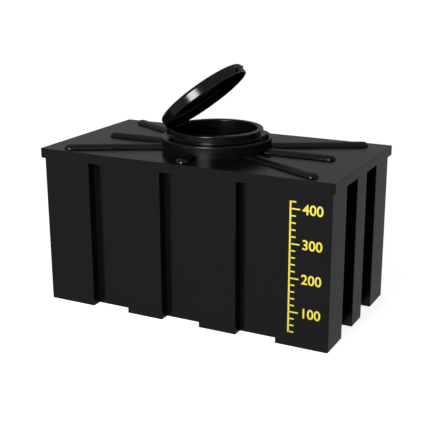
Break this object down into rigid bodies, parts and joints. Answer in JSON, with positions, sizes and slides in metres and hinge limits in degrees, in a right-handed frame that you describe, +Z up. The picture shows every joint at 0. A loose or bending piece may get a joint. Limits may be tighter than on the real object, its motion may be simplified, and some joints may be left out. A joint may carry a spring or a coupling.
{
  "type": "loft water tank",
  "caption": "Low rectangular cold-water storage tank in black moulded plastic, with grooved walls, a ribbed roof and a round manway under a hinged lid.",
  "frame": {"origin": "centre of the base, on the floor the tank stands on", "axes": "+X along the tank towards the lid's lift tab, -Y out of the front, +Z up"},
  "size_m": [1.28, 0.686, 1.0027],
  "materials": {
    "tank_plastic": "black rotationally moulded polyethylene, smooth with a soft shine",
    "lid_plastic": "black injection moulded polyethylene, smooth with a soft shine",
    "pin_plastic": "plain black nylon rod"
  },
  "bodies": {
    "tank": {"tank_floor": "tank_plastic", "corner_front_left": "tank_plastic", "corner_front_right": "tank_plastic", "corner_back_left": "tank_plastic", "corner_back_right": "tank_plastic", "panel_front_left": "tank_plastic", "panel_front_right": "tank_plastic", "panel_back_left": "tank_plastic", "panel_back_right": "tank_plastic", "panel_left_end": "tank_plastic", "panel_right_end": "tank_plastic", "groove_front_left": "tank_plastic", "groove_front_middle": "tank_plastic", "groove_front_right": "tank_plastic", "groove_back_left": "tank_plastic", "groove_back_middle": "tank_plastic", "groove_back_right": "tank_plastic", "groove_left_end_front": "tank_plastic", "groove_left_end_back": "tank_plastic", "groove_right_end_front": "tank_plastic", "groove_right_end_back": "tank_plastic", "rim_front": "tank_plastic", "rim_back": "tank_plastic", "rim_left": "tank_plastic", "rim_right": "tank_plastic", "roof_front": "tank_plastic", "roof_back": "tank_plastic", "roof_ribs": "tank_plastic", "turret": "tank_plastic", "turret_ledge": "tank_plastic", "manway_neck": "tank_plastic", "neck_bead": "tank_plastic", "hinge_ears": "tank_plastic", "hinge_pin": "pin_plastic", "catch_ears": "tank_plastic"},
    "lid": {"lid": "lid_plastic", "lid_skirt": "lid_plastic", "lid_ring": "lid_plastic", "hinge_knuckle": "lid_plastic", "lift_tab": "lid_plastic"}
  },
  "joints": [
    {"name": "lid_hinge", "type": "hinge", "parent": "tank", "child": "lid", "pos_m": [-0.21, 0, 0.716], "axis": [0, -1, 0], "range_deg": [-39.7, 60]}
  ]
}
